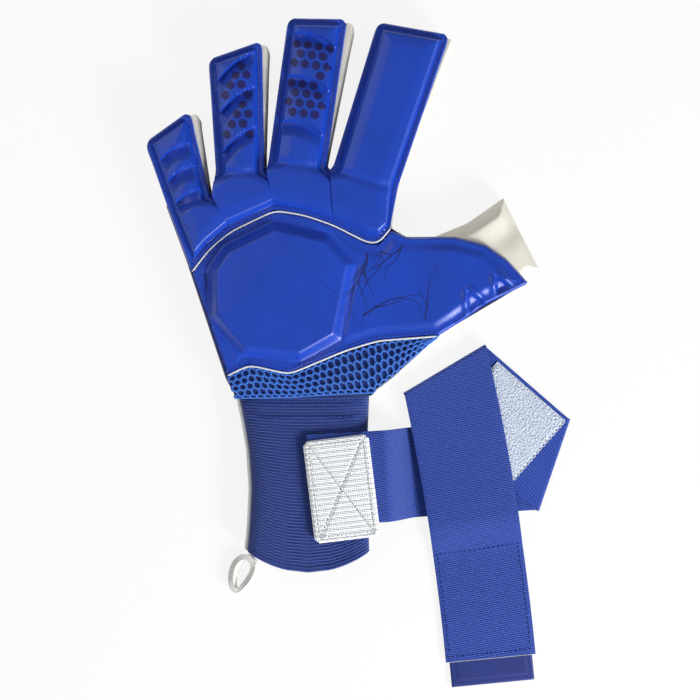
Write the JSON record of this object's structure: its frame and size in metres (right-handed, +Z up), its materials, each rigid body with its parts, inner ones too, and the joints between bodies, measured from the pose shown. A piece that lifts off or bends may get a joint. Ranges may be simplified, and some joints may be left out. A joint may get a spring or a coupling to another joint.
{
  "type": "goalkeeper glove",
  "caption": "Left-hand goalkeeper glove with moulded back, latex palm, elastic wrist band and folded wrist strap.",
  "frame": {"origin": "middle of the footprint, on the surface that the palm lies on", "axes": "+X to the thumb side, +Y to the fingertips, +Z up out of the back of the hand"},
  "size_m": [0.2314, 0.3676, 0.026],
  "materials": {
    "palm_latex": "matte",
    "lining_foam": "matte",
    "gusset_mesh": "matte",
    "back_foam": "satin",
    "air_mesh": "matte",
    "band_elastic": "matte",
    "strap_elastic": "matte",
    "white_webbing": "matte",
    "white_tape": "matte",
    "hook_and_loop": "matte",
    "tab_rubber": "satin"
  },
  "bodies": {
    "hand": {"anchor_patch": "white_webbing", "back_lining": "lining_foam", "finger_webs": "gusset_mesh", "hand_back_panel": "back_foam", "index_side_gusset": "gusset_mesh", "knuckle_panel": "back_foam", "mesh_panel": "air_mesh", "outer_side_gusset": "gusset_mesh", "palm_latex": "palm_latex", "palm_lining": "lining_foam", "side_piping": "white_tape", "strap_root": "strap_elastic", "thumb_heel_gusset": "gusset_mesh", "wrist_band": "band_elastic"},
    "little_finger": {"little_finger_back": "back_foam", "little_finger_back_lining": "lining_foam", "little_finger_gusset": "gusset_mesh", "little_finger_latex": "palm_latex", "little_finger_palm_lining": "lining_foam"},
    "ring_finger": {"ring_finger_back": "back_foam", "ring_finger_back_lining": "lining_foam", "ring_finger_gusset": "gusset_mesh", "ring_finger_latex": "palm_latex", "ring_finger_palm_lining": "lining_foam"},
    "middle_finger": {"middle_finger_back": "back_foam", "middle_finger_back_lining": "lining_foam", "middle_finger_gusset": "gusset_mesh", "middle_finger_latex": "palm_latex", "middle_finger_palm_lining": "lining_foam"},
    "index_finger": {"index_finger_back": "back_foam", "index_finger_back_lining": "lining_foam", "index_finger_gusset": "gusset_mesh", "index_finger_latex": "palm_latex", "index_finger_palm_lining": "lining_foam"},
    "thumb": {"thumb_back": "back_foam", "thumb_back_lining": "lining_foam", "thumb_latex": "palm_latex", "thumb_palm_lining": "lining_foam", "thumb_wrap": "palm_latex"},
    "strap_first_run": {"strap_run_1": "strap_elastic"},
    "strap_second_run": {"strap_run_2": "strap_elastic", "loop_patch": "hook_and_loop"},
    "strap_end_run": {"strap_run_3": "strap_elastic", "hook_patch": "hook_and_loop"},
    "tab": {"pull_tab": "tab_rubber"},
    "loop": {"pull_loop": "white_tape"}
  },
  "joints": [
    {"name": "little_finger_curl", "type": "hinge", "parent": "hand", "child": "little_finger", "pos_m": [-0.09325, 0.08547, 0], "axis": [-0.9613, -0.2756, 0], "range_deg": [0, 75], "stiffness_Nm_per_rad": 0.02},
    {"name": "ring_finger_curl", "type": "hinge", "parent": "hand", "child": "ring_finger", "pos_m": [-0.06485, 0.10207, 0], "axis": [-0.9991, -0.0419, 0], "range_deg": [0, 75], "stiffness_Nm_per_rad": 0.02},
    {"name": "middle_finger_curl", "type": "hinge", "parent": "hand", "child": "middle_finger", "pos_m": [-0.03345, 0.10637, 0], "axis": [-0.9903, 0.1392, 0], "range_deg": [0, 75], "stiffness_Nm_per_rad": 0.02},
    {"name": "index_finger_curl", "type": "hinge", "parent": "hand", "child": "index_finger", "pos_m": [0.00375, 0.09817, 0], "axis": [-0.9511, 0.309, 0], "range_deg": [0, 75], "stiffness_Nm_per_rad": 0.02},
    {"name": "thumb_curl", "type": "hinge", "parent": "hand", "child": "thumb", "pos_m": [0.03895, 0.04088, 0], "axis": [-0.5, 0.866, 0], "range_deg": [0, 60], "stiffness_Nm_per_rad": 0.02},
    {"name": "strap_lift", "type": "hinge", "parent": "hand", "child": "strap_first_run", "pos_m": [0.01295, -0.06563, 0.0196], "axis": [0.0593, -0.9982, 0], "range_deg": [0, 100]},
    {"name": "first_fold_open", "type": "hinge", "parent": "strap_first_run", "child": "strap_second_run", "pos_m": [0.10698, -0.06004, 0.00175], "axis": [0.3223, 0.9466, 0], "range_deg": [0, 170]},
    {"name": "second_fold_open", "type": "hinge", "parent": "strap_second_run", "child": "strap_end_run", "pos_m": [0.04789, -0.00867, 0.00425], "axis": [-0.8594, -0.5113, 0], "range_deg": [0, 100]},
    {"name": "tab_lift", "type": "hinge", "parent": "strap_end_run", "child": "tab", "pos_m": [0.07311, -0.16788, 0.0024], "axis": [-0.9954, -0.0958, 0], "range_deg": [0, 60]},
    {"name": "loop_lift", "type": "hinge", "parent": "hand", "child": "loop", "pos_m": [-0.06015, -0.10963, 0.005], "axis": [-0.9272, 0.3746, 0], "range_deg": [0, 60]}
  ]
}
